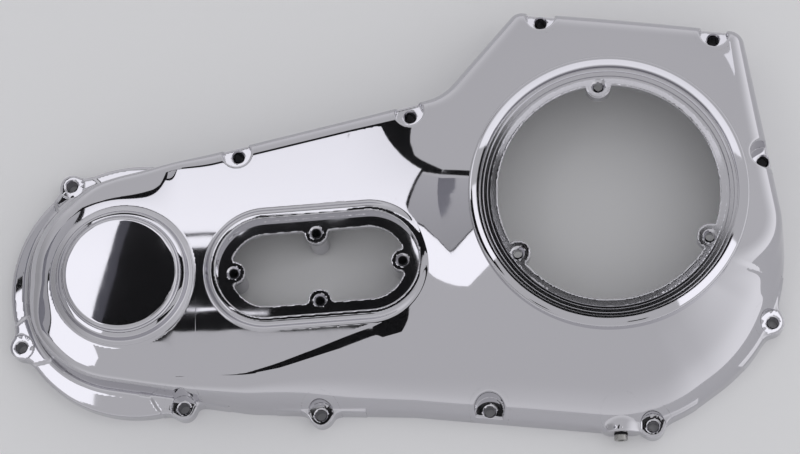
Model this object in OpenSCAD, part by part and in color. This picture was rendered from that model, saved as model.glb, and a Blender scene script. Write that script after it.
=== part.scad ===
// Outer primary cover of a large V-twin motorcycle: one die-cast and chrome-plated
// shell over the engine sprocket, the primary chain and the clutch.
// Frame: the gasket face lies on z = 0 and the origin is on the clutch axis.
// +X runs to the clutch end, +Y is up as on the vehicle, +Z is outwards.

/* [Shafts] */
// Distance between the engine shaft and the clutch shaft
shaft_span = 327; // [324:1:332]
// Slope of the line from the engine shaft up to the clutch shaft, degrees
shaft_slope = 8.6; // [8:0.1:9.2]

/* [Shell] */
// Height of the flat face between the two shafts
face_h = 42; // [40:1:44]
// Thickness of the plain wall
wall = 4.2; // [3.5:0.1:5]
// Height of the low flange and its screw ears
ear_h = 13; // [12:0.5:14]
// Width of the gasket face around the cavity
gasket_w = 9; // [8:0.5:10]
// Radius of the low round flange at the engine end
flange_r = 87; // [86:0.5:88]
// Radius of the round wall at the engine end
end_r = 69.5; // [69:0.5:70]

/* [Clutch opening] */
// Radius of the clear opening
open_r = 73; // [72:0.5:73.5]
// Height of the machined land that the cover plate sits on
land_h = 58.3; // [57:0.1:60]
// Radius of the recess that the cover plate drops into
seat_r = 86; // [85.5:0.1:86.5]
// Height of the crest of the round bead above the land
bead_rise = 4.2; // [3.5:0.1:5]
// Width of the bead, from the recess to its foot
bead_w = 6.3; // [6:0.1:7]
// Pitch circle of the three cover-plate screws
seat_pcd = 145.5; // [144:0.5:146]
// Angle of the first of those screws
seat_turn = 94.3; // [90:0.1:98]

/* [Inspection opening] */
// Centre of the oval opening
oval_at = [-193.2, -43]; // [-200:0.1:200]
// Turn of its long axis, degrees
oval_turn = 3.7; // [2:0.1:5]
// Half the distance between the centres of its round ends
oval_half = 34; // [32:0.5:36]
// Radius of the clear opening's round ends
oval_open_r = 24.5; // [23.5:0.5:25]
// Radius of the seat's round ends
oval_seat_r = 33.6; // [33:0.1:34]
// Radius of the raised rim's foot
oval_rim_r = 40.2; // [39.5:0.1:41]
// Height of the seat
oval_seat_h = 38; // [37.5:0.1:38.5]
// Height of the rim's crest
oval_rim_h = 46; // [45:0.1:47]
// Distance between the two screws on the long axis
oval_screw_long = 113; // [112:0.5:114]
// Distance between the two screws across it
oval_screw_short = 46.5; // [46:0.5:47]
// Height at which the screw posts end inside the shell
post_end = 4; // [2:0.5:8]

/* [Screw holes] */
// Radius of a mounting-screw hole
hole_r = 3.6; // [3.3:0.1:3.8]
// Radius of the chamfer at its mouth
mouth_r = 4.7; // [4.4:0.1:5]
// Radius of a tapped cover-screw hole
tap_r = 2.9; // [2.6:0.1:3]
// Radius of a screw ear
ear_r = 7.6; // [7.3:0.1:8]
// Radius of the pocket cut for a screw head in the high wall
pocket_r = 9.7; // [9.3:0.1:10]
// Height of the floor of those pockets
pocket_floor = 30; // [28:0.5:32]

/* [Drain] */
// Place of the drain plug along the lower edge
drain_x = 5.9; // [4:0.1:8]
// Height of its axis above the gasket face
drain_z = 7.6; // [7:0.1:8]
// Radius of the plug's head
plug_r = 4.4; // [4.3:0.1:5]
// Radius of its thread
thread_r = 3.6; // [3.3:0.1:3.8]

/* [Hidden] */
$fn = 96;
engine = shaft_span * [-cos(shaft_slope), -sin(shaft_slope)];
flange_at = engine + [6.8, -2.6];
arm_deg = 9;
// The bead, its steps and the slope under it follow the recess, the clear opening and the land
bead_r = seat_r + bead_w;
bead_h = land_h + bead_rise;
step_out = seat_r - 3.8;
step_in = seat_r - 6.4;
lip_r = open_r + 4.6;
slope_top = land_h - 2.3;
slope_r = bead_r + 82.7;
clutch_floor = land_h - wall - 14.1;

// Corners of the high shell's outline, counter-clockwise: x, y, corner radius
CORNERS = [
    [94.2, 118.4, 13],
    [-61.4, 135.8, 12],
    [-111.5, 76.5, 30],
    [engine.x - end_r, engine.y + 0.836 * end_r + 0.6, end_r],
    [engine.x - end_r, engine.y - 0.893 * end_r - 0.6, end_r],
    [-240, -135.5, 100],
    [-130, -138.9, 50],
    [30.5, -154.4, 100],
    [107.7, -98.3, 110],
    [119.9, -29.2, 130]
];

// Low screw ears: centre and the direction that the ear points in
EARS = [
    [-364.6, 22.2, 123],
    [-395.5, -89.9, 206],
    [-284.4, -132.9, 286],
    [-192.7, -138.6, 270],
    [27.1, -148.6, 276],
    [107.8, -79.7, 330]
];

// Deep pockets: centre, floor height and the direction of the open side
POCKETS = [
    [-80.5, -137.3, ear_h - 1, 264],
    [103.7, 26.8, pocket_floor, 8],
    [73.0, 112.7, pocket_floor, 83],
    [-43.4, 127.0, pocket_floor, 83],
    [-132.1, 62.0, pocket_floor, 103],
    [-248.4, 35.8, pocket_floor, 103]
];

// Wall sections as height, inset where the edge is crisp, inset where it is soft
OUTER = [[0, 0, 0], [ear_h, 0.8, 1], [24, 1.5, 9], [34, 3.2, 20], [face_h + 2, 6.8, 34.5], [slope_top + 2.5, 12, 50]];
INNER = [
    [-1, gasket_w, gasket_w],
    [ear_h - 3, gasket_w - 1, gasket_w],
    [21, wall + 1.8, 12.4],
    [30, wall + 3, 22.5],
    [face_h - 1, wall + 7, 39],
    [slope_top + 0.5, wall + 12.8, 54]
];

function unit(v) = v / norm(v);
function clamp01(t) = min(1, max(0, t));
function ease(t) = let (c = clamp01(t)) c * c * (3 - 2 * c);
// How soft the edge is at a point with this outward direction: 0 crisp, 1 a wide roll
function softness(p, n) =
    ease((p.x + 285) / 170) * ease((-p.y - 10) / 70) * ease(0.6 + 1.2 * (abs(n.y) - 0.1) - 2 * max(0, n.y))
    + 0.55 * ease((-255 - 70 * ease(n.y) - p.x) / 55);

// Points of one rounded corner as [point, outward direction, largest inset]
function corner(a, b, c) =
    let (
        p = [b.x, b.y],
        u = unit(p - [a.x, a.y]),
        v = unit([c.x, c.y] - p),
        turn = atan2(u.x * v.y - u.y * v.x, u.x * v.x + u.y * v.y),
        side = turn < 0 ? -1 : 1,
        run = b.z * tan(abs(turn) / 2),
        start = atan2(-u.x, u.y),
        centre = p - u * run - side * b.z * [cos(start), sin(start)],
        steps = max(2, ceil(abs(turn) / arm_deg))
    )
    [for (i = [0:steps])
        let (w = start + turn * i / steps, n = [cos(w), sin(w)])
        [centre + side * b.z * n, n, side > 0 ? 0.92 * b.z : 1000]];

LOOP = [
    for (i = [0:len(CORNERS) - 1])
        each corner(
            CORNERS[(i + len(CORNERS) - 1) % len(CORNERS)],
            CORNERS[i],
            CORNERS[(i + 1) % len(CORNERS)]
        )
];
SOFT = [for (s = LOOP) softness(s[0], s[1])];

// Solid skinned over the outline at each height of a wall section
module skinned(section) {
    n = len(LOOP);
    k = len(section);
    pts = [
        for (s = section)
            for (i = [0:n - 1])
                let (
                    d = min(s[1] + (s[2] - s[1]) * SOFT[i], LOOP[i][2]),
                    q = LOOP[i][0] - d * LOOP[i][1]
                )
                [q.x, q.y, s[0]]
    ];
    hub = [for (e = [0, k - 1]) [-120, -30, section[e][0]]];
    sides = [
        for (j = [0:k - 2])
            for (i = [0:n - 1])
                let (a = j * n + i, b = j * n + (i + 1) % n)
                each [[a, b + n, b], [a, a + n, b + n]]
    ];
    ends = [
        for (i = [0:n - 1])
            let (m = (i + 1) % n, t = (k - 1) * n)
            each [[k * n, i, m], [k * n + 1, t + m, t + i]]
    ];
    polyhedron(points = concat(pts, hub), faces = concat(sides, ends));
}

// Top surface: the flat face, and the cone that rises from it to the clutch bead
module crown(inside = 0) {
    low = -3;
    translate([-450, -220, low])
        cube([620, 420, face_h - inside - low]);
    rotate_extrude($fn = 160)
        polygon([
            [0, low], [slope_r, low], [slope_r, slope_top - 22 - inside], [bead_r - 0.3, slope_top - inside],
            [bead_r - 4, inside > 0 ? land_h - inside : slope_top],
            [0, inside > 0 ? land_h - inside : slope_top]
        ]);
}

module stadium(r, h) {
    for (x = [-oval_half, oval_half])
        translate([x, 0, 0])
            cylinder(r = r, h = h);
    translate([-oval_half, -r, 0])
        cube([2 * oval_half, 2 * r, h]);
}

module at_oval(z = 0) {
    translate([oval_at.x, oval_at.y, z])
        rotate([0, 0, oval_turn])
            children();
}

module oval_screws() {
    for (p = [[oval_screw_long / 2, 0], [-oval_screw_long / 2, 0], [0, oval_screw_short / 2], [0, -oval_screw_short / 2]])
        translate([p.x, p.y, 0])
            children();
}

module seat_screws() {
    for (i = [0:2])
        rotate([0, 0, seat_turn + 120 * i])
            translate([seat_pcd / 2, 0, 0])
                children();
}

// Low ear with a flared root
module ear(h) {
    cylinder(r = ear_r, h = h, $fn = 64);
    linear_extrude(height = h)
        polygon([[0, -ear_r], [0, ear_r], [-10, ear_r + 5.5], [-10, -ear_r - 5.5]]);
}

module outside() {
    intersection() {
        skinned(OUTER);
        crown();
    }
    translate([flange_at.x, flange_at.y, 0])
        rotate_extrude()
            polygon([
                [0, 0], [flange_r, 0], [flange_r, ear_h - 3], [flange_r - 3, ear_h],
                [flange_r - 14, ear_h + 1.8], [0, ear_h + 1.8]
            ]);
    for (e = EARS)
        translate([e.x, e.y, 0])
            rotate([0, 0, e.z])
                ear(ear_h + 1);
    drain_pad();
    engine_boss();
    at_oval(face_h - 3) {
        stadium(oval_rim_r, 4.4);
        stadium(oval_rim_r - 1.4, oval_rim_h - face_h + 3);
    }
}

// Domed boss over the engine sprocket, with its shoulder ring
module engine_boss() {
    translate([engine.x, engine.y, 0])
        rotate_extrude()
            polygon([
                [0, 30], [47.3, 30], [47.3, 41.8], [45.2, 43.4], [43.6, 46], [42.4, 47.9], [40.3, 48.6],
                [39.7, 48], [38.9, 48.4], [38.5, 50], [37.4, 51.4], [35.4, 52.2], [33, 52.5], [0, 52.5]
            ]);
}

// Half-round pad that the drain plug screws into
module drain_pad() {
    intersection() {
        translate([drain_x, -152.6, drain_z])
            rotate([-90, 0, 0])
                cylinder(r = 12, h = 26, $fn = 64);
        translate([drain_x - 20, -160, 0])
            cube([40, 60, 40]);
    }
}

module cavity() {
    difference() {
        union() {
            intersection() {
                skinned(INNER);
                crown(wall);
            }
            translate([flange_at.x, flange_at.y, -1])
                cylinder(r = flange_r - gasket_w, h = ear_h - 2);
            translate([engine.x, engine.y, 20])
                cylinder(r = 36.5, h = 26);
        }
        for (e = EARS) {
            translate([e.x, e.y, -2])
                cylinder(r = ear_r + 1, h = 20, $fn = 48);
            translate([e.x, e.y, ear_h - wall])
                cylinder(r = ear_r + 1 + wall, h = 50, $fn = 48);
        }
        for (p = POCKETS) {
            translate([p.x, p.y, -2])
                cylinder(r = ear_r + 1, h = p.z + 2, $fn = 48);
            translate([p.x, p.y, p.z - wall])
                cylinder(r = pocket_r + wall, h = 50, $fn = 48);
        }
        at_oval(oval_seat_h - wall)
            stadium(oval_rim_r - 2, 30);
        translate([drain_x, -150, drain_z])
            rotate([-90, 0, 0])
                cylinder(r = 10, h = 18, $fn = 48);
    }
}

// Machined ring around the clutch opening: land, groove, steps, recess wall and bead
module seat_ring() {
    rotate_extrude($fn = 160)
        polygon([
            [open_r, land_h - wall], [bead_r, land_h - wall - 2], [bead_r, slope_top + 0.2],
            [bead_r - 0.9, bead_h - 2.4], [bead_r - 2.4, bead_h - 0.5], [bead_r - 4, bead_h],
            [seat_r + 0.7, bead_h - 0.3], [seat_r, bead_h - 1], [seat_r, land_h + 1],
            [step_out, land_h + 1], [step_out, land_h + 0.2], [step_in, land_h + 0.2],
            [step_in - 0.2, land_h - 0.8], [lip_r + 0.2, land_h - 0.8], [lip_r, land_h], [open_r, land_h]
        ]);
}

module cover() {
    color("gainsboro")
        difference() {
            union() {
                difference() {
                    outside();
                    cavity();
                    translate([0, 0, clutch_floor])
                        cylinder(r = seat_r + 1, h = 40, $fn = 160);
                    at_oval(oval_seat_h)
                        stadium(oval_seat_r, 30);
                    at_oval(20)
                        stadium(oval_open_r, 40);
                }
                seat_ring();
                seat_screws()
                    translate([0, 0, land_h - 8])
                        cylinder(r = 8.5, h = 7.9, $fn = 64);
                at_oval(0)
                    oval_screws()
                        rotate_extrude($fn = 64)
                            polygon([
                                [0, post_end], [6.8, post_end], [6.8, oval_seat_h - wall - 2.5],
                                [7.8, oval_seat_h - wall - 1.5], [7.8, oval_seat_h], [0, oval_seat_h]
                            ]);
            }
            // screws of the clutch cover plate
            seat_screws() {
                translate([0, 0, clutch_floor])
                    cylinder(r = tap_r, h = 30, $fn = 48);
                translate([0, 0, land_h - 1.7])
                    cylinder(r1 = tap_r, r2 = 4.7, h = 1.8, $fn = 48);
            }
            // screws of the oval inspection plate
            at_oval(0)
                oval_screws() {
                    translate([0, 0, post_end + 10])
                        cylinder(r = tap_r, h = oval_seat_h, $fn = 48);
                    translate([0, 0, oval_seat_h - 1.5])
                        cylinder(r1 = tap_r, r2 = 4.5, h = 1.6, $fn = 48);
                }
            // mounting screws in the low ears
            for (e = EARS)
                translate([e.x, e.y, 0]) {
                    translate([0, 0, -1])
                        cylinder(r = hole_r, h = 80, $fn = 48);
                    translate([0, 0, ear_h - 1])
                        cylinder(r1 = hole_r, r2 = mouth_r, h = 1.1, $fn = 48);
                    translate([0, 0, ear_h])
                        cylinder(r = ear_r + 1, h = 60, $fn = 64);
                }
            // mounting screws in the deep pockets
            for (p = POCKETS)
                translate([p.x, p.y, 0]) {
                    translate([0, 0, -1])
                        cylinder(r = hole_r, h = 80, $fn = 48);
                    translate([0, 0, p.z - 1])
                        cylinder(r1 = hole_r, r2 = mouth_r, h = 1.1, $fn = 48);
                    translate([0, 0, p.z])
                        cylinder(r = pocket_r, h = 60, $fn = 64);
                }
            // drain
            translate([drain_x, -160, drain_z])
                rotate([-90, 0, 0])
                    cylinder(r = thread_r, h = 40, $fn = 48);
        }
}

module drain_plug() {
    color("silver")
        translate([drain_x, -157, drain_z])
            rotate([-90, 0, 0])
                difference() {
                    union() {
                        cylinder(r1 = plug_r - 0.5, r2 = plug_r, h = 0.5, $fn = 64);
                        translate([0, 0, 0.5])
                            cylinder(r = plug_r, h = 2.9, $fn = 64);
                        translate([0, 0, 3.4])
                            cylinder(r = thread_r, h = 15, $fn = 48);
                    }
                    translate([0, 0, -1])
                        cylinder(r = 2.3, h = 4.2, $fn = 6);
                }
}

// Ring that seals the plug's head against the pad
module drain_seal() {
    color("dimgray")
        translate([drain_x, -153.6, drain_z])
            rotate([-90, 0, 0])
                difference() {
                    cylinder(r = plug_r + 0.3, h = 1, $fn = 64);
                    translate([0, 0, -1])
                        cylinder(r = thread_r, h = 3, $fn = 48);
                }
}

cover();
drain_plug();
drain_seal();
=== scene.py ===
"""Outer primary cover: one chrome-plated die-casting with its drain plug and seal, in a plain pale studio."""
import math

import bpy
import numpy as np
from mathutils import Matrix, Vector


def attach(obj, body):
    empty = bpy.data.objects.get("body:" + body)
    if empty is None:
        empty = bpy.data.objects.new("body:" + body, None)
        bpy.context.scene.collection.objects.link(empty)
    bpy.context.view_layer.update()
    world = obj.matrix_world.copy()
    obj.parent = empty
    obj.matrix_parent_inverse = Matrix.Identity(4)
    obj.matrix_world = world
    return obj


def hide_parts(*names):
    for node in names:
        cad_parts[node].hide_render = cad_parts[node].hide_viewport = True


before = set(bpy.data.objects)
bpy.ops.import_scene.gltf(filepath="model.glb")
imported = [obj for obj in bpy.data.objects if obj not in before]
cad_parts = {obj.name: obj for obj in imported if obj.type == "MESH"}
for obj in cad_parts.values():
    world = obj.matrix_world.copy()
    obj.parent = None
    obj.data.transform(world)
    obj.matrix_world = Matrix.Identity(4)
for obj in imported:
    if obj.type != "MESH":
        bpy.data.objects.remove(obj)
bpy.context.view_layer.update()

MM = 0.001

# Sizes in millimetres, the same as in the part's source
SHAFT_SPAN = 327.0
SHAFT_SLOPE = math.radians(8.6)
CRANK = (-SHAFT_SPAN * math.cos(SHAFT_SLOPE), -SHAFT_SPAN * math.sin(SHAFT_SLOPE))
FLANGE = (CRANK[0] + 6.8, CRANK[1] - 2.6)
FACE_H = 42.0
WALL = 4.2
EAR_H = 13.0
END_R = 69.5
FLANGE_R = 87.0
OPEN_R = 73.0
LAND_H = 58.3
SEAT_R = 86.0
BEAD_IN_R = 84.5
BEAD_H = 62.5
BEAD_R = 92.3
OVAL = (-193.2, -43.0)
OVAL_TURN = math.radians(3.7)
OVAL_HALF = 34.0
OVAL_OPEN_R = 24.5
OVAL_SEAT_R = 33.6
OVAL_RIM_R = 40.2
OVAL_SEAT_H = 38.0
OVAL_RIM_H = 46.0
EAR_R = 7.6
HOLE_R = 3.6
TAP_R = 2.9
POCKET_R = 9.7
POST_R = 7.8
DRAIN = (5.9, 7.6)
DRAIN_HOLE_R = 3.6
DRAIN_Y = -140.0
PAD = (5.9, -142.0)
PAD_R = 12.0
PAD_MIDDLE, PAD_HALF = -139.6, 13.0
TAP_DEPTH = 24.0
BOSS_R = 46.7
BOSS_H = 43.0
DOME_H = 52.5
DOME_HOLLOW_R, DOME_HOLLOW_H = 36.5, 46.0
LIP_R = 77.7
LOBE_R = 8.5
LOBE_CIRCLE_R = 72.75
# where the shell's edge starts to turn soft and over how far: along x, down y, and a little at the engine end
SOFT_X, SOFT_OVER_X = -285, 170
SOFT_Y, SOFT_OVER_Y = -10, 70
END_SOFT, END_SOFT_X, END_SOFT_OVER = 0.22, -255, 55
# slope that climbs from the flat face to the bead: its height where it meets the bead, and its fall per millimetre
SLOPE_H, SLOPE_R, SLOPE_FALL = 56, 92, 0.265
# the meshes of the casting part at this x, and within these distances of the oval seat and of a screw
END_X = -274.0
OVAL_FINE_R = 45.5
SCREW_FINE_R = 13.5
SCREW_BOX = 14.7
# corners of the shell's outline, each with the radius that rounds it
OUTLINE = [
    (94.2, 118.4, 13), (-61.4, 135.8, 12), (-111.5, 76.5, 30),
    (CRANK[0] - END_R, CRANK[1] + 0.836 * END_R + 0.6, END_R),
    (CRANK[0] - END_R, CRANK[1] - 0.893 * END_R - 0.6, END_R),
    (-240, -135.5, 100), (-130, -138.9, 50), (30.5, -154.4, 100), (107.7, -98.3, 110), (119.9, -29.2, 130),
]
# screw holes in the low ears, and in the pockets of the high wall with the height of each pocket's floor
EARS = [(-364.6, 22.2), (-395.5, -89.9), (-284.4, -132.9), (-192.7, -138.6), (27.1, -148.6), (107.8, -79.7)]
POCKETS = [(-80.5, -137.3, 12), (103.7, 26.8, 30), (73.0, 112.7, 30), (-43.4, 127.0, 30), (-132.1, 62.0, 30),
           (-248.4, 35.8, 30)]
SCREWS = EARS + [p[:2] for p in POCKETS] + [PAD]
SCREW_FLOORS = [(cx, cy, EAR_H) for cx, cy in EARS] + POCKETS
LOBE_TURNS = [math.radians(a) for a in (94.3, 214.3, 334.3)]
LOBES = [(LOBE_CIRCLE_R * math.cos(a), LOBE_CIRCLE_R * math.sin(a)) for a in LOBE_TURNS]
OVAL_SCREWS = [(56.5, 0), (-56.5, 0), (0, 23.25), (0, -23.25)]


def blend_min(a, b, k):
    """The union of two solids, with a fillet about k millimetres wide between them."""
    h = np.maximum(k - np.abs(a - b), 0)
    return np.minimum(a, b) - h * h / (4 * k)


def blend_max(a, b, k):
    """What two solids share, with its edge rounded over about k millimetres."""
    h = np.maximum(k - np.abs(a - b), 0)
    return np.maximum(a, b) + h * h / (4 * k)


def ease(t):
    """Smooth step from 0 at t = 0 to 1 at t = 1."""
    c = np.clip(t, 0, 1)
    return c * c * (3 - 2 * c)


def rounded_outline():
    """Arcs and straights of the shell's outline, counter-clockwise."""
    arcs, runs = [], []
    n = len(OUTLINE)
    for i, (x, y, r) in enumerate(OUTLINE):
        p = np.array([x, y])
        u = p - np.array(OUTLINE[i - 1][:2])
        v = np.array(OUTLINE[(i + 1) % n][:2]) - p
        u, v = u / np.hypot(*u), v / np.hypot(*v)
        turn = math.atan2(u[0] * v[1] - u[1] * v[0], u @ v)
        side = 1.0 if turn > 0 else -1.0
        start = math.atan2(-u[0], u[1])
        out = np.array([math.cos(start), math.sin(start)])
        centre = p - u * r * math.tan(abs(turn) / 2) - side * r * out
        last = start + turn
        mid = start + turn / 2
        arcs.append((centre, r, side, side * np.array([math.cos(mid), math.sin(mid)]), math.cos(abs(turn) / 2)))
        runs.append((centre + side * r * out, centre + side * r * np.array([math.cos(last), math.sin(last)])))
    lines = [(runs[i][1], runs[(i + 1) % n][0]) for i in range(n)]
    return arcs, lines


ARCS, LINES = rounded_outline()


def plan(x, y):
    """Depth inside the outline, and how soft the shell's upper edge is there."""
    best = np.full(x.shape, 1e6)
    depth = np.full(x.shape, -1e6)
    nx, ny = np.zeros_like(x), np.ones_like(x)
    for centre, r, side, mid, half in ARCS:
        vx, vy = x - centre[0], y - centre[1]
        d = np.sqrt(vx * vx + vy * vy) + 1e-9
        here = (vx * mid[0] + vy * mid[1]) >= d * (half - 1e-6)
        gap = np.abs(d - r)
        use = here & (gap < best)
        best = np.where(use, gap, best)
        depth = np.where(use, side * (r - d), depth)
        nx = np.where(use, side * vx / d, nx)
        ny = np.where(use, side * vy / d, ny)
    for a, b in LINES:
        u = b - a
        length = np.hypot(*u)
        u = u / length
        t = (x - a[0]) * u[0] + (y - a[1]) * u[1]
        d = -((x - a[0]) * u[1] - (y - a[1]) * u[0])
        use = (t >= 0) & (t <= length) & (np.abs(d) < best)
        best = np.where(use, np.abs(d), best)
        depth = np.where(use, d, depth)
        nx = np.where(use, u[1], nx)
        ny = np.where(use, -u[0], ny)
    px, py = x + depth * nx, y + depth * ny
    soft = ease((px - SOFT_X) / SOFT_OVER_X) * ease((SOFT_Y - py) / SOFT_OVER_Y)
    # crisper where the outline faces up or to the side
    soft = soft * ease(0.6 + 1.2 * (np.abs(ny) - 0.1) - 2 * np.maximum(0, ny))
    end = ease((END_SOFT_X - 70 * ease(ny) - px) / END_SOFT_OVER)
    soft = soft + END_SOFT * (1 - ease(0.1 - 1.6 * ny)) * end
    return depth, soft


def smooth_table(heights, insets, sigma=2.4):
    """A wall's inset by height, its kinks rounded off."""
    z = np.arange(-20, 90, 0.25)
    v = np.interp(z, heights, insets)
    w = np.exp(-0.5 * (np.arange(-40, 41) * 0.25 / sigma) ** 2)
    padded = np.concatenate([np.full(40, v[0]), v, np.full(40, v[-1])])
    return z, np.convolve(padded, w / w.sum(), "valid")


# inset of the wall from the outline at each height, outside and inside, where the edge is crisp and where it is soft
OUT_Z = [-20, 0, 13, 24, 34, 44, 58.5, 90]
IN_Z = [-20, -1, 10, 21, 30, 41, 56.5, 90]
OUT_CRISP = smooth_table(OUT_Z, [0, 0, 0.8, 1.5, 2.4, 3.4, 5, 9])
OUT_SOFT = smooth_table(OUT_Z, [0, 0, 1.4, 9, 20, 34.5, 52, 92])
IN_CRISP = smooth_table(IN_Z, [9, 9, 8, 6, 7.2, 10, 16, 30])
IN_SOFT = smooth_table(IN_Z, [9, 9, 9, 12.6, 22.5, 39, 58, 98])


def from_point(x, y, point):
    """Distance in plan from a point."""
    return np.sqrt((x - point[0]) ** 2 + (y - point[1]) ** 2)


def crown(x, y):
    """Height of the top surface: the flat face, and the slope that climbs to the clutch bead."""
    r = np.sqrt(x * x + y * y)
    # past the dome the face falls off a little, less at the lower left
    past = np.maximum(from_point(x, y, CRANK) - 48, 0)
    fall = (0.0022 + 0.0035 * ease((y + 88) / 24)) * ease((-285 - x) / 40)
    return blend_max(FACE_H - fall * past ** 2, SLOPE_H - SLOPE_FALL * (r - SLOPE_R), 9.0)


def edge_width(x, soft):
    """Width of the rounding between the wall and the top surface."""
    return 10.5 - 4.5 * ease((-262 - x) / 40) + 10 * soft


def oval_axes(x, y):
    """Place along and across the oval opening's long axis, and distance from its spine."""
    ca, sa = math.cos(OVAL_TURN), math.sin(OVAL_TURN)
    u = (x - OVAL[0]) * ca + (y - OVAL[1]) * sa
    v = -(x - OVAL[0]) * sa + (y - OVAL[1]) * ca
    return u, v, np.sqrt(np.maximum(np.abs(u) - OVAL_HALF, 0) ** 2 + v * v)


def in_reach(x, y, cx, cy, reach):
    """Which points lie in a square round a place, so that its detail is worked out only there."""
    return np.nonzero((np.abs(x - cx) < reach) & (np.abs(y - cy) < reach))[0]


def hollow_inside(x, y, z, depth, soft):
    """The space under the shell: below zero inside it."""
    rf, re = from_point(x, y, FLANGE), from_point(x, y, CRANK)
    f = (1 - soft) * np.interp(z, *IN_CRISP) + soft * np.interp(z, *IN_SOFT) - depth
    f = f / np.sqrt(1 + (1.3 * soft * ease((z - 15) / 8)) ** 2)
    f = blend_max(f, z - (crown(x, y) - WALL), edge_width(x, 1.1 * soft))
    f = blend_min(f, blend_max(rf - (FLANGE_R - 9), z - (EAR_H - 3), 1.5), 3.0)
    f = blend_min(f, blend_max(re - DOME_HOLLOW_R, z - DOME_HOLLOW_H, 3.0), 3.0)
    for cx, cy, floor in SCREW_FLOORS:
        i = in_reach(x, y, cx, cy, 24)
        if len(i):
            r = np.hypot(x[i] - cx, y[i] - cy)
            reach = (EAR_R if floor == EAR_H else POCKET_R) + 1 + WALL
            boss = np.minimum(np.maximum(r - EAR_R - 1, z[i] - floor), np.maximum(r - reach, floor - WALL - z[i]))
            f[i] = blend_max(f[i], -boss, 1.5)
    i = in_reach(x, y, DRAIN[0], DRAIN_Y, 24)
    if len(i):
        r = np.hypot(x[i] - DRAIN[0], z[i] - DRAIN[1])
        f[i] = blend_max(f[i], -np.maximum(r - PAD_R + 2, np.abs(y[i] + 141) - 9), 1.0)
    oval = oval_axes(x, y)[2]
    return blend_max(f, -np.maximum(oval - OVAL_RIM_R + 2, OVAL_SEAT_H - WALL - z), 1.0)


def casting(x, y, z):
    """The casting as one function of place, in millimetres: below zero inside the metal."""
    depth, soft = plan(x, y)
    side = (1 - soft) * np.interp(z, *OUT_CRISP) + soft * np.interp(z, *OUT_SOFT) - depth
    side = side / np.sqrt(1 + (1.35 * soft * ease((z - 13) / 8)) ** 2)
    f = blend_max(side, (z - crown(x, y)) * 0.98, edge_width(x, soft))

    # low round flange at the engine end
    rf = from_point(x, y, FLANGE)
    flange = blend_max(rf - FLANGE_R, z - EAR_H - 0.2, 2.6)
    f = blend_min(f, flange, 4.0)

    # screw ears, flared into the wall
    for cx, cy in EARS:
        i = in_reach(x, y, cx, cy, 30)
        if len(i):
            r = np.hypot(x[i] - cx, y[i] - cy)
            # the ear's top ends on the flange within twice its own radius
            on_flange = rf[i] - FLANGE_R + 1.5 * np.maximum(r - 15, 0)
            root = np.minimum(-depth[i], on_flange) + 1.0
            ear = blend_max(blend_min(r - EAR_R, root, 9.0), z[i] - EAR_H - 1, 2.0)
            f[i] = blend_min(f[i], ear, 3.0)
            f[i] = blend_max(f[i], -np.maximum(r - EAR_R - 0.8, EAR_H - z[i]), 0.8)

    # half-round pad of the drain
    i = in_reach(x, y, DRAIN[0], DRAIN_Y, 30)
    if len(i):
        r = np.hypot(x[i] - DRAIN[0], z[i] - DRAIN[1])
        f[i] = blend_min(f[i], blend_max(r - PAD_R, np.abs(y[i] - PAD_MIDDLE) - PAD_HALF, 1.6), 3.0)

    # support under the dome, and its fillet
    re = from_point(x, y, CRANK)
    f = blend_min(f, blend_max(re - BOSS_R, z - BOSS_H, 2.0), 2.5)

    # raised rim round the oval seat
    u, v, oval = oval_axes(x, y)
    rim = blend_max(oval - OVAL_RIM_R + 0.3 * np.clip(z - FACE_H, 0, 6), z - OVAL_RIM_H, 2.6)
    f = blend_min(f, rim, 2.2)

    # pockets for the screw heads in the high wall
    for cx, cy, floor in POCKETS:
        i = in_reach(x, y, cx, cy, 16)
        if len(i):
            r = np.hypot(x[i] - cx, y[i] - cy)
            f[i] = blend_max(f[i], -blend_max(r - POCKET_R, floor - z[i], 0.4), 1.6)

    f = blend_max(f, -hollow_inside(x, y, z, depth, soft), 0.5)
    f = np.maximum(f, -z)

    # clutch opening, its seat left to the turned ring
    rc = np.sqrt(x * x + y * y)
    f = np.maximum(f, -np.maximum(rc - SEAT_R - 1.5, 40 - z))

    # oval seat, opening and screw posts
    f = blend_max(f, -np.maximum(oval - OVAL_SEAT_R, OVAL_SEAT_H - z), 0.9)
    i = np.nonzero((np.abs(u) < 80) & (np.abs(v) < 50))[0]
    if len(i):
        g = f[i]
        posts = np.full(len(i), 1e3)
        for pu, pv in OVAL_SCREWS:
            posts = np.minimum(posts, np.hypot(u[i] - pu, v[i] - pv))
        opening = blend_max(oval[i] - OVAL_OPEN_R, POST_R - posts, 3.0)
        g = blend_max(g, -np.maximum(opening, 20 - z[i]), 0.6)
        # each post is a stem, and a wider head that the seat ends in
        g = np.minimum(g, blend_max(posts - POST_R + 1, np.abs(z[i] - 20.5) - 16.5, 0.8))
        g = np.minimum(g, blend_max(posts - POST_R, np.abs(z[i] - 34.9) - 3.1, 0.6))
        # tapped hole with its countersink
        g = np.maximum(g, -np.maximum(posts - TAP_R, OVAL_SEAT_H - TAP_DEPTH - z[i]))
        g = np.maximum(g, -(posts - TAP_R - np.clip(z[i] - (OVAL_SEAT_H - 1.6), -9, 3)))
        f[i] = g

    # mounting screw holes with their small chamfers
    for cx, cy, floor in SCREW_FLOORS:
        i = in_reach(x, y, cx, cy, 12)
        if len(i):
            r = np.hypot(x[i] - cx, y[i] - cy)
            f[i] = np.maximum(f[i], -(r - HOLE_R - np.clip(z[i] - (floor - 1.0), 0, 1.1)))
    i = in_reach(x, y, DRAIN[0], DRAIN_Y, 24)
    if len(i):
        r = np.hypot(x[i] - DRAIN[0], z[i] - DRAIN[1])
        f[i] = np.maximum(f[i], DRAIN_HOLE_R - r)
    return f


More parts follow.
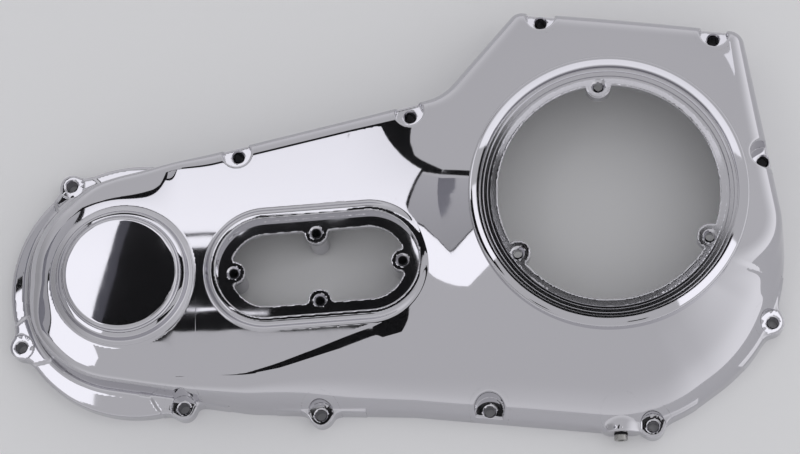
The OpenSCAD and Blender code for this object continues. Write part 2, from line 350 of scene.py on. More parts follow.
def oval_region(x, y):
    """Below zero where the oval seat is built with a finer mesh."""
    return oval_axes(x, y)[2] - OVAL_FINE_R


def screw_region(x, y):
    """Below zero round the screw holes, which are built with a finer mesh."""
    return np.min([np.hypot(x - cx, y - cy) for cx, cy in SCREWS], axis=0) - SCREW_FINE_R


def plain_shell(x, y, z):
    """The casting without its engine end and the finer regions."""
    fine = np.minimum(oval_region(x, y), screw_region(x, y))
    return np.maximum(casting(x, y, z), np.maximum(-fine, END_X - x))


def engine_end(x, y, z):
    """The casting's engine end, without the finer places."""
    return np.maximum(casting(x, y, z), np.maximum(-screw_region(x, y), x - END_X))


def oval_seat(x, y, z):
    """The casting round the oval opening."""
    return np.maximum(casting(x, y, z), oval_region(x, y))


def screw_seats(x, y, z):
    """The casting round the screw holes."""
    return np.maximum(casting(x, y, z), screw_region(x, y))


def slope_at(fn, p, step=0.03):
    """Unit gradient at each point, from four samples."""
    k = np.array([[1, -1, -1], [-1, -1, 1], [-1, 1, -1], [1, 1, 1]], float)
    g = np.zeros_like(p)
    for d in k:
        q = p + d * step
        g += d * fn(q[:, 0], q[:, 1], q[:, 2])[:, None]
    return g / (np.linalg.norm(g, axis=1, keepdims=True) + 1e-12)


def in_parts(fn, p, size=400000):
    """The function at many points, a part of them at a time to spare memory."""
    return np.concatenate([fn(*p[i:i + size].T) for i in range(0, len(p), size)])


def contour(fn, low, high, h, coarse=4):
    """Closed quad mesh of the surface fn = 0 in cells of h millimetres, with its corners on the creases."""
    low = np.array(low, float)
    blocks = np.ceil((np.array(high) - low) / (h * coarse)).astype(int)
    centres = np.stack(np.meshgrid(*[np.arange(b) for b in blocks], indexing="ij"), -1).reshape(-1, 3)
    middle = in_parts(fn, low + (centres + 0.5) * h * coarse)
    # only the blocks that the surface may pass through are looked at closely
    kept = centres[np.abs(middle) < 0.95 * h * coarse + 1.0] * coarse
    shape = tuple(blocks * coarse + 1)
    wanted = np.zeros(shape, bool)
    for dx in range(coarse + 1):
        for dy in range(coarse + 1):
            for dz in range(coarse + 1):
                wanted[kept[:, 0] + dx, kept[:, 1] + dy, kept[:, 2] + dz] = True
    value = np.full(shape, np.nan)
    value[wanted] = in_parts(fn, low + np.argwhere(wanted) * h)

    # grid edges that the surface crosses, and the four cells round each
    starts, ends, cells, flips = [], [], [], []
    step = np.eye(3, dtype=int)
    for axis in range(3):
        a = value[tuple(slice(None, -1) if k == axis else slice(1, -1) for k in range(3))]
        b = value[tuple(slice(1, None) if k == axis else slice(1, -1) for k in range(3))]
        with np.errstate(invalid="ignore"):
            hit = np.argwhere(((a < 0) != (b < 0)) & ~np.isnan(a) & ~np.isnan(b))
        hit = hit + 1 - step[axis]
        first = value[tuple(hit.T)]
        starts.append(hit)
        ends.append(hit + step[axis])
        v, w = step[(axis + 1) % 3], step[(axis + 2) % 3]
        cells.append(np.stack([hit - v - w, hit - w, hit, hit - v], 1))
        flips.append(first > 0)
    a, b = np.concatenate(starts), np.concatenate(ends)
    cells, flips = np.concatenate(cells), np.concatenate(flips)
    fa, fb = value[tuple(a.T)], value[tuple(b.T)]
    pa, pb = low + a * h, low + b * h
    # where it crosses, by false position
    for _ in range(3):
        t = np.clip(fa / (fa - fb), 0.02, 0.98)
        p = pa + (pb - pa) * t[:, None]
        fp = in_parts(fn, p)
        same = (fp < 0) == (fa < 0)
        pa = np.where(same[:, None], p, pa)
        fa = np.where(same, fp, fa)
        pb = np.where(same[:, None], pb, p)
        fb = np.where(same, fb, fp)
    t = np.clip(fa / (fa - fb), 0, 1)
    p = pa + (pb - pa) * t[:, None]
    n = np.concatenate([slope_at(fn, p[i:i + 300000]) for i in range(0, len(p), 300000)])

    code = (cells[..., 0] * shape[1] + cells[..., 1]) * shape[2] + cells[..., 2]
    ids, index = np.unique(code.ravel(), return_inverse=True)
    index = index.ravel()
    quads = index.reshape(-1, 4)
    count = np.bincount(index)

    def total(values):
        return np.bincount(index, weights=np.repeat(values, 4), minlength=len(ids))

    # each cell's corner lies nearest to the planes of its crossings, and is held to the cell
    mass = np.stack([total(p[:, k]) for k in range(3)], 1) / count[:, None]
    d = (n * p).sum(1)
    ata = np.zeros((len(ids), 3, 3))
    atb = np.zeros((len(ids), 3))
    for r in range(3):
        atb[:, r] = total(n[:, r] * d)
        for c in range(r, 3):
            ata[:, r, c] = ata[:, c, r] = total(n[:, r] * n[:, c])
    atb -= np.einsum("nij,nj->ni", ata, mass)
    ata += np.eye(3) * 0.03
    move = np.linalg.solve(ata, atb[..., None])[..., 0]
    corner = np.stack(np.unravel_index(ids, shape), 1)
    base = low + corner * h
    verts = np.clip(mass + move, base - 0.02 * h, base + 1.02 * h)
    quads[flips] = quads[flips][:, ::-1]
    return verts, quads


def split_quads(fn, verts, quads):
    """Triangles, each quad cut along the diagonal that lies closer to the surface."""
    one = (verts[quads[:, 0]] + verts[quads[:, 2]]) / 2
    two = (verts[quads[:, 1]] + verts[quads[:, 3]]) / 2
    swap = np.abs(in_parts(fn, two)) < np.abs(in_parts(fn, one))
    q = np.where(swap[:, None], np.roll(quads, -1, axis=1), quads)
    return np.concatenate([q[:, [0, 1, 2]], q[:, [0, 2, 3]]])


def mesh_from(name, verts, faces):
    """Mesh of triangles from corners in millimetres."""
    mesh = bpy.data.meshes.new(name)
    mesh.vertices.add(len(verts))
    mesh.vertices.foreach_set("co", (np.asarray(verts) * MM).astype(np.float32).ravel())
    mesh.loops.add(len(faces) * 3)
    mesh.loops.foreach_set("vertex_index", np.asarray(faces, np.int32).ravel())
    mesh.polygons.add(len(faces))
    mesh.polygons.foreach_set("loop_start", np.arange(0, len(faces) * 3, 3, dtype=np.int32))
    mesh.update(calc_edges=True)
    mesh.validate()
    return mesh


def place(name, mesh):
    """The mesh as an object at the origin."""
    obj = bpy.data.objects.new(name, mesh)
    bpy.context.scene.collection.objects.link(obj)
    return obj


def thinned(name, mesh, most):
    """The mesh with at most this many triangles, flat places losing theirs first."""
    obj = place(name + "_full", mesh)
    if len(mesh.polygons) > most:
        step = obj.modifiers.new("thin", "DECIMATE")
        step.ratio = most / len(mesh.polygons)
        step.use_collapse_triangulate = True
    ready = obj.evaluated_get(bpy.context.evaluated_depsgraph_get())
    out = bpy.data.meshes.new_from_object(ready)
    out.name = name
    bpy.data.objects.remove(obj)
    return out


def true_normals(fn, mesh, crease=28.0):
    """Sets each corner's normal from the function, so that polished faces reflect without facets."""
    nv, nl = len(mesh.vertices), len(mesh.loops)
    co = np.empty(nv * 3, np.float32)
    mesh.vertices.foreach_get("co", co)
    co = co.reshape(-1, 3).astype(float) / MM
    loop_v = np.empty(nl, np.int32)
    mesh.loops.foreach_get("vertex_index", loop_v)
    tri = loop_v.reshape(-1, 3)
    smooth = np.concatenate([slope_at(fn, co[i:i + 300000], 0.15) for i in range(0, nv, 300000)])
    p0, p1, p2 = co[tri[:, 0]], co[tri[:, 1]], co[tri[:, 2]]
    flat = np.cross(p1 - p0, p2 - p0)
    area = np.linalg.norm(flat, axis=1, keepdims=True)
    flat = flat / (area + 1e-12)
    facing = np.repeat(flat, 3, axis=0)
    normal = smooth[loop_v]
    # a corner whose normal doesn't suit its face is on a crease: there the slope is taken just inside the face
    sharp_loop = (normal * facing).sum(1) < math.cos(math.radians(crease * 0.6))
    sharp_v = np.zeros(nv, bool)
    sharp_v[loop_v[sharp_loop]] = True
    i = np.nonzero(sharp_v[loop_v])[0]
    centre = np.repeat((p0 + p1 + p2) / 3, 3, axis=0)[i]
    here = co[loop_v[i]]
    away = centre - here
    away = away / (np.linalg.norm(away, axis=1, keepdims=True) + 1e-12)
    local = slope_at(fn, here + away * 0.3, 0.06)
    bad = (local * facing[i]).sum(1) < 0.5
    local[bad] = facing[i][bad]
    keep = (local * normal[i]).sum(1) > math.cos(math.radians(crease * 0.7))
    normal[i] = np.where(keep[:, None], normal[i], local)
    mesh.polygons.foreach_set("use_smooth", np.ones(len(mesh.polygons), bool))
    mesh.normals_split_custom_set(normal.astype(np.float32).tolist())


def srgb(code):
    """Linear colour of an sRGB hex value."""
    parts = [int(code[i:i + 2], 16) / 255 for i in (1, 3, 5)]
    return tuple(c / 12.92 if c <= 0.04045 else ((c + 0.055) / 1.055) ** 2.4 for c in parts) + (1.0,)


def node(tree, kind, settings=None, **links):
    """A node with its settings and its inputs, each input a value or another node's output; i0 is the first one."""
    made = tree.nodes.new(kind)
    for key, value in (settings or {}).items():
        setattr(made, key, value)
    for key, value in links.items():
        counted = key[0] == "i" and key[1:].isdigit()
        socket = made.inputs[int(key[1:]) if counted else key.replace("_", " ")]
        if isinstance(value, bpy.types.NodeSocket):
            tree.links.new(value, socket)
        else:
            socket.default_value = value
    return made


# radius in metres of the circle that the lathe sweeps a profile along; the profile is set off by as much
SPINDLE = 0.1


def lathe_tree():
    """Geometry Nodes tree that sweeps a closed profile round the vertical axis, and the identifiers of its inputs."""
    tree = bpy.data.node_groups.new("lathe", "GeometryNodeTree")
    sockets = tree.interface
    sockets.new_socket("Profile", in_out="INPUT", socket_type="NodeSocketGeometry")
    named = {name: sockets.new_socket(name, in_out="INPUT", socket_type=kind).identifier for name, kind in (
        ("Facets", "NodeSocketInt"), ("Centre", "NodeSocketVector"), ("Finish", "NodeSocketMaterial"))}
    sockets.new_socket("Turned", in_out="OUTPUT", socket_type="NodeSocketGeometry")
    given = node(tree, "NodeGroupInput").outputs
    circle = node(tree, "GeometryNodeCurvePrimitiveCircle", {"mode": "RADIUS"},
                  Resolution=given["Facets"], Radius=SPINDLE)
    rim = node(tree, "GeometryNodeMeshToCurve", Mesh=given["Profile"])
    swept = node(tree, "GeometryNodeCurveToMesh", Curve=circle.outputs["Curve"], Profile_Curve=rim.outputs["Curve"])
    # rings that lie on the axis become one point
    closed = node(tree, "GeometryNodeMergeByDistance", Geometry=swept.outputs["Mesh"], Distance=2e-6)
    triangles = node(tree, "GeometryNodeTriangulate", Mesh=closed.outputs["Geometry"])
    outward = node(tree, "GeometryNodeFlipFaces", Mesh=triangles.outputs["Mesh"])
    moved = node(tree, "GeometryNodeTransform", Geometry=outward.outputs["Mesh"], Translation=given["Centre"])
    whole = node(tree, "GeometryNodeRealizeInstances", Geometry=moved.outputs["Geometry"])
    coated = node(tree, "GeometryNodeSetMaterial", Geometry=whole.outputs["Geometry"], Material=given["Finish"])
    node(tree, "NodeGroupOutput", Turned=coated.outputs["Geometry"])
    return tree, named


LATHE, LATHE_INPUTS = lathe_tree()


def turned(name, profile, finish, centre=(0.0, 0.0), facets=360):
    """Closed mesh of a profile (radius, height), listed from the bottom outwards, turned round a vertical axis."""
    blank = bpy.data.meshes.new(name + "_profile")
    points = [(r * MM - SPINDLE, -z * MM, 0) for r, z in profile]
    steps = [(i, i + 1) for i in range(len(points) - 1)]
    if profile[0][0] > 0:
        steps.append((len(points) - 1, 0))
    blank.from_pydata(points, steps, [])
    held = place(name + "_profile", blank)
    lathe = held.modifiers.new("lathe", "NODES")
    lathe.node_group = LATHE
    lathe[LATHE_INPUTS["Facets"]] = facets
    lathe[LATHE_INPUTS["Centre"]] = (centre[0] * MM, centre[1] * MM, 0)
    lathe[LATHE_INPUTS["Finish"]] = finish
    mesh = bpy.data.meshes.new_from_object(held.evaluated_get(bpy.context.evaluated_depsgraph_get()))
    mesh.name = name
    bpy.data.objects.remove(held)
    return mesh


def arced(corners, step=math.radians(9)):
    """Profile points (radius, height) of a polygon given as (radius, height, fillet)."""
    out = []
    n = len(corners)
    for i, (r, z, fillet) in enumerate(corners):
        p = np.array([r, z], float)
        if fillet <= 0:
            out.append((r, z))
            continue
        a = np.array(corners[i - 1][:2], float) - p
        b = np.array(corners[(i + 1) % n][:2], float) - p
        a, b = a / np.hypot(*a), b / np.hypot(*b)
        half = math.acos(np.clip(a @ b, -1, 1)) / 2
        centre = p + (a + b) / np.hypot(*(a + b)) * fillet / math.sin(half)
        first = p + a * fillet / math.tan(half) - centre
        sweep = math.pi - 2 * half
        turn = 1 if first[0] * b[1] - first[1] * b[0] > 0 else -1
        for k in range(max(2, math.ceil(sweep / step)) + 1):
            t = turn * sweep * k / max(2, math.ceil(sweep / step))
            c, s = math.cos(t), math.sin(t)
            out.append(tuple(centre + (first[0] * c - first[1] * s, first[0] * s + first[1] * c)))
    return out


def clutch_lip(x, y, z):
    """Inner lip of the clutch opening with its three lobes, tapped and countersunk."""
    r = np.sqrt(x * x + y * y)
    lobe = np.full(x.shape, 1e3)
    for cx, cy in LOBES:
        lobe = np.minimum(lobe, np.hypot(x - cx, y - cy))
    ring = np.maximum(blend_max(OPEN_R - r, np.abs(z - LAND_H + 2.1) - 2.1, 0.7), r - LIP_R)
    boss = blend_max(lobe - LOBE_R, np.abs(z - LAND_H + 4.0) - 4.0, 0.7)
    f = blend_min(ring, boss, 0.8)
    f = np.maximum(f, np.maximum(r - LIP_R, z - LAND_H))
    f = np.maximum(f, TAP_R - lobe)
    return np.maximum(f, -(lobe - TAP_R - np.clip(z - (LAND_H - 1.8), -9, 3)))


def fit(name, mesh, stands_for):
    """The finished mesh as a piece of the object, in place of the named solid."""
    obj = place(name, mesh)
    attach(obj, "root")
    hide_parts(stands_for)


def edged(mesh, degrees):
    """Smooth shading, with the edges that turn more than this kept sharp."""
    mesh.polygons.foreach_set("use_smooth", np.ones(len(mesh.polygons), bool))
    mesh.set_sharp_from_angle(angle=math.radians(degrees))
    return mesh


def surface(name, colour, roughness, metallic=1.0):
    """A principled material that is the same all over, with its tree and shader for what varies."""
    made = bpy.data.materials.new(name)
    made.use_nodes = True
    shader = made.node_tree.nodes["Principled BSDF"]
    shader.inputs["Base Color"].default_value = srgb(colour)
    shader.inputs["Metallic"].default_value = metallic
    shader.inputs["Roughness"].default_value = roughness
    return made, made.node_tree, shader


def bright_chrome():
    """Bright chrome plate over polished die-cast aluminium: a cool mirror, with faint polishing haze."""
    made, tree, shader = surface("bright_chrome_plate", "#C6C5CA", 0.03)
    place_of = node(tree, "ShaderNodeTexCoord").outputs["Object"]
    # haze in patches about 25 mm across, where the polishing mop passed less often
    haze = node(tree, "ShaderNodeTexNoise", Vector=place_of, Scale=40.0, Detail=3.0, Roughness=0.6)
    rough = node(tree, "ShaderNodeMapRange", Value=haze.outputs["Fac"], i1=0.35, i2=0.75, i3=0.015, i4=0.04)
    tree.links.new(rough.outputs["Result"], shader.inputs["Roughness"])
    # the casting under the plate is not quite flat: slow waves about 30 mm long
    wave = node(tree, "ShaderNodeTexNoise", Vector=place_of, Scale=33.0, Detail=1.0, Roughness=0.4)
    bump = node(tree, "ShaderNodeBump", Strength=0.1, Distance=0.0003, Height=wave.outputs["Fac"])
    tree.links.new(bump.outputs["Normal"], shader.inputs["Normal"])
    return made


def turned_chrome():
    """Chrome over a lathe-turned seat: fine rings that stretch each reflection across them."""
    made, tree, shader = surface("chrome_over_turned_seat", "#C2C1C6", 0.06)
    place_of = node(tree, "ShaderNodeTexCoord").outputs["Object"]
    parts = node(tree, "ShaderNodeSeparateXYZ", Vector=place_of)
    flat = node(tree, "ShaderNodeCombineXYZ", X=parts.outputs["X"], Y=parts.outputs["Y"])
    radius = node(tree, "ShaderNodeVectorMath", {"operation": "LENGTH"}, i0=flat.outputs["Vector"])
    # tool feed of 0.25 mm drawn 0.6 mm apart so that it shows
    feed = 0.0006
    turns = node(tree, "ShaderNodeMath", {"operation": "MULTIPLY"}, i0=radius.outputs["Value"], i1=2 * math.pi / feed)
    rings = node(tree, "ShaderNodeMath", {"operation": "SINE"}, i0=turns.outputs["Value"])
    bump = node(tree, "ShaderNodeBump", Strength=0.06, Distance=0.00002, Height=rings.outputs["Value"])
    tree.links.new(bump.outputs["Normal"], shader.inputs["Normal"])
    return made


def cast_inside():
    """Raw die-cast aluminium inside the shell: dull grey with the skin that the mould leaves."""
    made, tree, shader = surface("raw_cast_aluminium", "#8E8E92", 0.5)
    place_of = node(tree, "ShaderNodeTexCoord").outputs["Object"]
    # the mould's skin has a grain a little over 1 mm across
    grain = node(tree, "ShaderNodeTexNoise", Vector=place_of, Scale=900.0, Detail=4.0, Roughness=0.7)
    tone = node(tree, "ShaderNodeMapRange", Value=grain.outputs["Fac"], i1=0.3, i2=0.7, i3=0.38, i4=0.6)
    tree.links.new(tone.outputs["Result"], shader.inputs["Roughness"])
    bump = node(tree, "ShaderNodeBump", Strength=0.35, Distance=0.0002, Height=grain.outputs["Fac"])
    tree.links.new(bump.outputs["Normal"], shader.inputs["Normal"])
    return made


def plated_steel():
    """Zinc-plated steel plug: greyer and softer than the chrome, with light wear."""
    made, tree, shader = surface("zinc_plated_steel", "#A9A8A6", 0.28)
    place_of = node(tree, "ShaderNodeTexCoord").outputs["Object"]
    # rubbed spots just under 1 mm across, where a wrench and stones touched it
    wear = node(tree, "ShaderNodeTexNoise", Vector=place_of, Scale=1200.0, Detail=3.0)
    rough = node(tree, "ShaderNodeMapRange", Value=wear.outputs["Fac"], i1=0.3, i2=0.7, i3=0.2, i4=0.4)
    tree.links.new(rough.outputs["Result"], shader.inputs["Roughness"])
    return made


def seal_rubber():
    """Nitrile rubber seal: near black with a soft sheen."""
    made, tree, shader = surface("nitrile_rubber", "#1B1B1D", 0.6, 0.0)
    place_of = node(tree, "ShaderNodeTexCoord").outputs["Object"]
    # moulding grain of 0.4 mm
    grain = node(tree, "ShaderNodeTexNoise", Vector=place_of, Scale=2500.0, Detail=2.0)
    bump = node(tree, "ShaderNodeBump", Strength=0.2, Distance=0.00005, Height=grain.outputs["Fac"])
    tree.links.new(bump.outputs["Normal"], shader.inputs["Normal"])
    return made


CHROME = bright_chrome()
TURNED = turned_chrome()
RAW = cast_inside()
ZINC = plated_steel()
RUBBER = seal_rubber()


def joined_contours(fn, boxes, h):
    """One set of corners and triangles from the surface fn = 0 inside each box."""
    corners, faces, count = [], [], 0
    for low, high in boxes:
        c, q = contour(fn, low, high, h)
        corners.append(c)
        faces.append(split_quads(fn, c, q) + count)
        count += len(c)
    return np.concatenate(corners), np.concatenate(faces)


def cast_part(name, fn, boxes, h, most):
    """A part of the casting, meshed in cells of h millimetres and then thinned to the most triangles it may have:
    chrome outside, raw metal on the faces that the hollow leaves."""
    mesh = thinned(name, mesh_from(name, *joined_contours(fn, boxes, h)), most)
    true_normals(casting, mesh)
    mesh.materials.append(CHROME)
    mesh.materials.append(RAW)
    middle = np.empty(len(mesh.polygons) * 3, np.float32)
    mesh.polygons.foreach_get("center", middle)
    x, y, z = (middle.reshape(-1, 3).astype(float) / MM).T
    u, v, _ = oval_axes(x, y)
    bore = np.min([np.hypot(u - pu, v - pv) for pu, pv in OVAL_SCREWS], axis=0)
    raw = (np.abs(hollow_inside(x, y, z, *plan(x, y))) < 0.6) | (bore < TAP_R + 0.3)
    mesh.polygons.foreach_set("material_index", raw.astype(np.int32))
    fit(name, mesh, "cover")


# the casting: its plain walls, the oval seat, and the places of the screws
cast_part("cover_shell", plain_shell, [((-276, -162, -3), (126, 142, 60))], 1.1, 195000)
cast_part("engine_end", engine_end, [((-412, -150, -3), (-272, 50, 50))], 0.85, 195000)
cast_part("oval_seat", oval_seat, [((-276, -96, -2), (-110, 10, 50))], 0.6, 110000)
# the drain pad and the ear beside it share a box
JOINT_BOX = ((-9, -164, -2), (42, -126, 60))
BOXES = [((x - SCREW_BOX, y - SCREW_BOX, -2), (x + SCREW_BOX, y + SCREW_BOX, 60)) for x, y in SCREWS
         if (x, y) not in (PAD, EARS[4])] + [JOINT_BOX]
cast_part("screw_seats", screw_seats, BOXES, 0.6, 150000)

# lip of the clutch opening
corners, quads = contour(clutch_lip, (-80, -80, 48), (80, 83, 60), 0.8)
lip = mesh_from("clutch_lip", corners, split_quads(clutch_lip, corners, quads))
lip = thinned("clutch_lip", lip, 60000)
true_normals(clutch_lip, lip)
lip.materials.append(TURNED)
fit("clutch_lip", lip, "cover")

# turned seat of the round cover plate: a step under the bead, then two lands down to the lip; the last number
# of each corner is its fillet
STEP_IN_R, LAND_IN_R = 82.2, 79.6
SEAT_FOOT_H = 52.5
SEAT_PROFILE = [
    (LIP_R - 0.5, SEAT_FOOT_H, 0), (SEAT_R + 0.9, SEAT_FOOT_H, 0), (SEAT_R + 0.9, LAND_H + 2, 0),
    (BEAD_IN_R, LAND_H + 2, 0), (BEAD_IN_R, LAND_H + 1.1, 0.3), (STEP_IN_R, LAND_H + 1.1, 0.2),
    (STEP_IN_R, LAND_H + 0.2, 0.2), (LAND_IN_R, LAND_H + 0.2, 0.2), (LAND_IN_R - 0.2, LAND_H - 0.8, 0.2),
    (LIP_R - 0.5, LAND_H - 0.8, 0),
]
fit("clutch_seat", edged(turned("clutch_seat", arced(SEAT_PROFILE), TURNED), 35), "cover")

# round bead: steep outside, nearly flat on top, dropping to the seat
BEAD_FOOT_H = 51.0
BEAD_PROFILE = [
    (SEAT_R + 0.8, BEAD_FOOT_H, 0), (BEAD_R - 0.1, BEAD_FOOT_H, 0), (BEAD_R, 57.6, 0),
    (BEAD_R - 0.1, BEAD_H - 0.2, 1.4), (89.6, BEAD_H - 0.04, 0), (87.0, BEAD_H, 0),
    (BEAD_IN_R - 0.1, BEAD_H - 0.02, 0.9), (BEAD_IN_R, LAND_H + 0.6, 0),
]
bead = turned("clutch_bead", arced(BEAD_PROFILE, math.radians(5)), CHROME)
fit("clutch_bead", edged(bead, 50), "cover")

# flat-topped dome over the engine sprocket, with its shoulder ring
DOME_PROFILE = [
    (0, 41.0, 0), (47.3, 41.0, 0), (47.2, 43.0, 0.6), (44.6, 44.2, 2.2), (42.7, 48.7, 1.3), (40.0, 48.9, 0.4),
    (39.0, 48.0, 0.4), (38.4, DOME_H, 2.6), (35.4, DOME_H, 0), (35.0, DOME_H, 0), (34.0, DOME_H + 0.001, 0),
    (0, DOME_H + 0.02, 0),
]
dome = turned("sprocket_dome", arced(DOME_PROFILE, math.radians(4)), CHROME, CRANK)
fit("sprocket_dome", edged(dome, 50), "cover")


def along_drain(mesh):
    """Turns a mesh made round a vertical axis so that it lies along the drain's, its top to the front."""
    mesh.transform(Matrix.Translation((DRAIN[0] * MM, 0, DRAIN[1] * MM)) @ Matrix.Rotation(math.pi / 2, 4, "X"))
    return mesh


def plug_body():
    """Plug along the drain: chamfered head with its hexagon socket, and the shank behind it."""
    facets = 96
    a = np.arange(facets) * 2 * math.pi / facets
    hexagon = 2.3 * math.cos(math.pi / 6) / np.cos((a + math.pi / 6) % (math.pi / 3) - math.pi / 6)
    rings = [(0, 138.8), (3.4, 138.8), (3.55, 139.0), (3.55, 153.6), (4.4, 153.6), (4.4, 156.4), (4.25, 156.8),
             (3.9, 157.0), (hexagon + 0.15, 157.0), (hexagon, 156.8), (hexagon, 153.9), (0, 153.6)]
    verts, faces, index = [], [], []
    for r, z in rings:
        if np.ndim(r) == 0 and r == 0:
            index.append([len(verts)] * facets)
            verts.append((0, 0, z))
        else:
            index.append(list(range(len(verts), len(verts) + facets)))
            verts.extend(zip(r * np.cos(a), r * np.sin(a), np.full(facets, z)))
    for p, q in zip(index[:-1], index[1:]):
        for i in range(facets):
            k = (i + 1) % facets
            if p[i] != p[k]:
                faces.append((p[i], p[k], q[k]))
            if q[i] != q[k]:
                faces.append((p[i], q[k], q[i]))
    mesh = mesh_from("plug_body", np.array(verts), np.array(faces))
    mesh.materials.append(ZINC)
    return mesh


# drain plug and the seal under its head
fit("plug_body", edged(along_drain(plug_body()), 30), "drain_plug")
SEAL_PROFILE = [(3.65, 152.65, 0.2), (4.6, 152.65, 0.4), (4.6, 153.55, 0.4), (3.65, 153.55, 0.2)]
seal = turned("plug_seal", arced(SEAL_PROFILE), RUBBER, facets=96)
fit("plug_seal", edged(along_drain(seal), 40), "drain_seal")

# plain pale floor
FLOOR_HALF = 6.0
corners = [(-FLOOR_HALF, -FLOOR_HALF, 0), (FLOOR_HALF, -FLOOR_HALF, 0), (FLOOR_HALF, FLOOR_HALF, 0),
           (-FLOOR_HALF, FLOOR_HALF, 0)]
sheet = bpy.data.meshes.new("floor")
sheet.from_pydata(corners, [], [(0, 1, 2, 3)])
sheet.materials.append(surface("matt_paper", "#F0F0F1", 0.9, 0.0)[0])
place("floor", sheet)


def panel(name, outline, height, material):
    """Flat studio panel over the table, its outline in metres, facing down."""
    mesh = bpy.data.meshes.new(name)
    mesh.from_pydata([(x, y, height) for x, y in outline], [], [list(range(len(outline)))])
    mesh.materials.append(material)
    place(name, mesh)


def glow(name, low, high, start, end):
    """Lit cloth: its light goes from one strength at y = start to the other at y = end."""
    made = bpy.data.materials.new(name)
    made.use_nodes = True
    tree = made.node_tree
    tree.nodes.clear()
    place_of = node(tree, "ShaderNodeTexCoord").outputs["Object"]
    along = node(tree, "ShaderNodeSeparateXYZ", Vector=place_of).outputs["Y"]
    light = node(tree, "ShaderNodeMapRange", Value=along, i1=start, i2=end, i3=low, i4=high)
    shine = node(tree, "ShaderNodeEmission", Color=srgb("#FBFBFF"), Strength=light.outputs["Result"])
    node(tree, "ShaderNodeOutputMaterial", Surface=shine.outputs["Emission"])
    return made


def sector(start, end, inner, outer):
    """Outline of a piece of a ring about the point that the camera sees mirrored over the clutch opening."""
    turn = [math.radians(start + (end - start) * k / 24) for k in range(25)]
    rim = [(OPENING_X + outer * math.cos(t), OPENING_Y + outer * math.sin(t)) for t in turn]
    return rim + [(OPENING_X + inner * math.cos(t), OPENING_Y + inner * math.sin(t)) for t in reversed(turn)]


# everything in metres, over the table; what is in front hangs lower
OPENING_X, OPENING_Y = 0.016, 0.271
STRIP_Z, SOFTBOX_Z, FLAG_Z, SHEET_Z = 0.998, 1.0, 1.02, 1.04
# softboxes up to the left and over the clutch end
SOFTBOXES = {
    "softbox_high": [(-0.54, 0.275), (-0.6, 0.403), (-0.25, 0.403), (-0.25, 0.252), (-0.34, 0.252), (-0.36, 0.236),
                     (-0.44, 0.236), (-0.465, 0.266)],
    "softbox_low": [(-0.54, 0.275), (-0.465, 0.266), (-0.512, 0.125), (-0.52, 0.03), (-0.545, -0.045), (-0.6, -0.2),
                    (-0.69, -0.2), (-0.655, 0.0), (-0.635, 0.13), (-0.6, 0.19), (-0.555, 0.225)],
    "softbox_gap": [(-0.432, 0.2325), (-0.385, 0.2325), (-0.385, 0.2215), (-0.432, 0.2195)],
    "softbox_line": [(-0.425, 0.1575), (-0.33, 0.1545), (-0.33, 0.1515), (-0.425, 0.1545)],
    "ring_softbox": sector(12, 162, 0.117, 0.225),
    "ring_softbox_left": sector(179, 214, 0.139, 0.205),
    "ring_softbox_low": sector(-62, -26, 0.139, 0.3),
    "corner_softbox": [(0.42, 0.795), (0.56, 0.79), (0.55, 0.838), (0.44, 0.845)],
}
# black flags between and behind them
FLAGS = {
    "flag_middle": [(-0.53, 0.12), (-0.44, 0.12), (-0.43, 0.137), (-0.14, 0.137), (-0.14, 0.262), (-0.25, 0.28),
                    (-0.53, 0.28)],
    "flag_low": [(-0.375, 0.06), (-0.2, 0.06), (-0.15, -0.05), (-0.15, -0.17), (-0.22, -0.19), (-0.3, -0.07)],
    "flag_high": [(-0.56, 0.4), (-0.25, 0.4), (-0.25, 0.5), (-0.29, 0.6), (-0.49, 0.6), (-0.475, 0.5), (-0.51, 0.46),
                  (-0.56, 0.44), (-0.72, 0.455), (-0.72, 0.43), (-0.6, 0.4)],
    "flag_edge": [(-0.622, 0.41), (-0.598, 0.41), (-0.538, 0.275), (-0.556, 0.265)],
    "flag_outline": [(-0.69, -0.205), (-0.655, 0.0), (-0.635, 0.13), (-0.6, 0.19), (-0.555, 0.226),
                     (-0.557, 0.24), (-0.612, 0.203), (-0.65, 0.135), (-0.672, 0.0), (-0.707, -0.205)],
    "flag_ear_1": [(-0.437, 0.053), (-0.409, 0.053), (-0.409, 0.078), (-0.437, 0.078)],
    "flag_ear_2": [(-0.296, 0.06), (-0.268, 0.06), (-0.268, 0.068), (-0.296, 0.068)],
    "flag_pocket": [(-0.125, 0.045), (-0.09, 0.045), (-0.09, 0.073), (-0.125, 0.073)],
    "flag_ear_3": [(0.042, 0.024), (0.076, 0.024), (0.076, 0.058), (0.042, 0.058)],
    "flag_land": sector(150, 338, 0.01, 0.137),
}
# grey between the softboxes and the flags, and beyond them on the left
FELT_STRIP = [(-0.476, 0.264), (-0.465, 0.264), (-0.499, 0.125), (-0.513, 0.125)]
GREY_CARD = [(-0.72, 0.0), (-0.72, 0.42), (-1.1, 0.42), (-1.1, -0.02)]
GREY_SHEET = [(-0.64, 0.0), (-0.64, 0.13), (-0.6, 0.19), (-0.55, 0.22), (-0.55, 0.27), (-0.61, 0.4), (-0.72, 0.42),
              (-0.72, 0.0)]
cloth = glow("softbox_cloth", 1.6, 1.25, 0.2, 0.43)
for name, outline in SOFTBOXES.items():
    panel(name, outline, SOFTBOX_Z, cloth)
velvet = surface("black_velvet", "#0E0E10", 0.95, 0.0)[0]
for name, outline in FLAGS.items():
    panel(name, outline, FLAG_Z, velvet)
panel("felt_strip", FELT_STRIP, STRIP_Z, surface("dark_felt", "#6E6E76", 0.95, 0.0)[0])
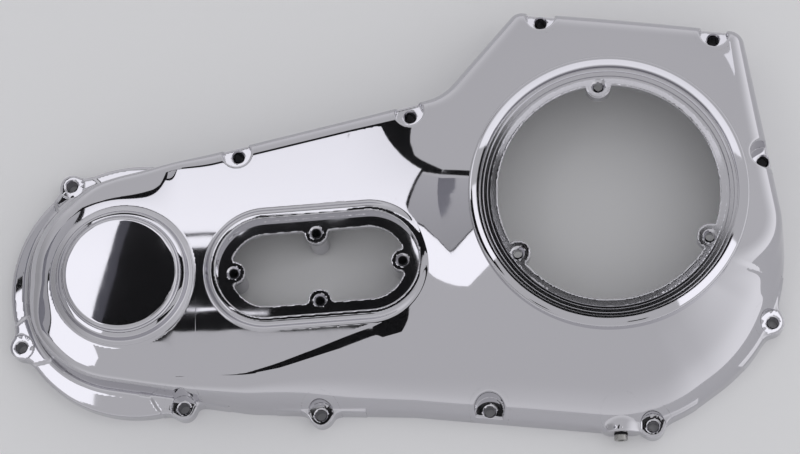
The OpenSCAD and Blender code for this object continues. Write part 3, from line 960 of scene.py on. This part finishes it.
panel("grey_card", GREY_CARD, SHEET_Z, surface("grey_card", "#AFAFB6", 0.95, 0.0)[0])
panel("grey_sheet", GREY_SHEET, SHEET_Z, glow("lit_sheet", 0.5, 0.62, 0.1, 0.4))

# light from all round, darker low on the left, lighter low on the right, and a little lighter near the floor
world = bpy.data.worlds.new("studio")
bpy.context.scene.world = world
world.use_nodes = True
tree = world.node_tree
way = node(tree, "ShaderNodeSeparateXYZ", Vector=node(tree, "ShaderNodeTexCoord").outputs["Generated"]).outputs


def eased(value, start, end, low, high):
    """A strength that goes smoothly from low to high while the value goes from start to end."""
    return node(tree, "ShaderNodeMapRange", {"interpolation_type": "SMOOTHSTEP"},
                Value=value, i1=start, i2=end, i3=low, i4=high).outputs["Result"]


sides = node(tree, "ShaderNodeMath", {"operation": "ADD"},
             i0=eased(way["X"], -0.95, -0.5, 0.4, 0.7), i1=eased(way["X"], 0.4, 0.95, 0.0, 0.25))
strength = node(tree, "ShaderNodeMath", {"operation": "MULTIPLY"},
                i0=sides.outputs["Value"], i1=eased(way["Z"], 0.1, 0.75, 1.22, 0.97))
sky = tree.nodes["Background"]
sky.inputs["Color"].default_value = srgb("#FDFDFF")
tree.links.new(strength.outputs["Value"], sky.inputs["Strength"])
bpy.context.scene.view_settings.view_transform = "Standard"

# camera where the photograph was taken from: a long lens high over the casting's lower side, looking down at it
# and about 15 degrees towards its upper side
CAMERA_AT = (-0.030, -0.498, 1.836)
FOCAL_LENGTH = 126.0
RIGHT = Vector((0.9982, 0.0, -0.0603))
DOWN = Vector((-0.0156, -0.9661, -0.2576))
AHEAD = Vector((-0.0582, 0.2581, -0.9644))
lens = bpy.data.cameras.new("camera")
lens.sensor_width = 36.0
lens.lens = FOCAL_LENGTH
lens.clip_start, lens.clip_end = 0.05, 50
camera = bpy.data.objects.new("camera", lens)
bpy.context.scene.collection.objects.link(camera)
camera.matrix_world = Matrix.Translation(CAMERA_AT) @ Matrix((RIGHT, -DOWN, -AHEAD)).transposed().to_4x4()
bpy.context.scene.camera = camera
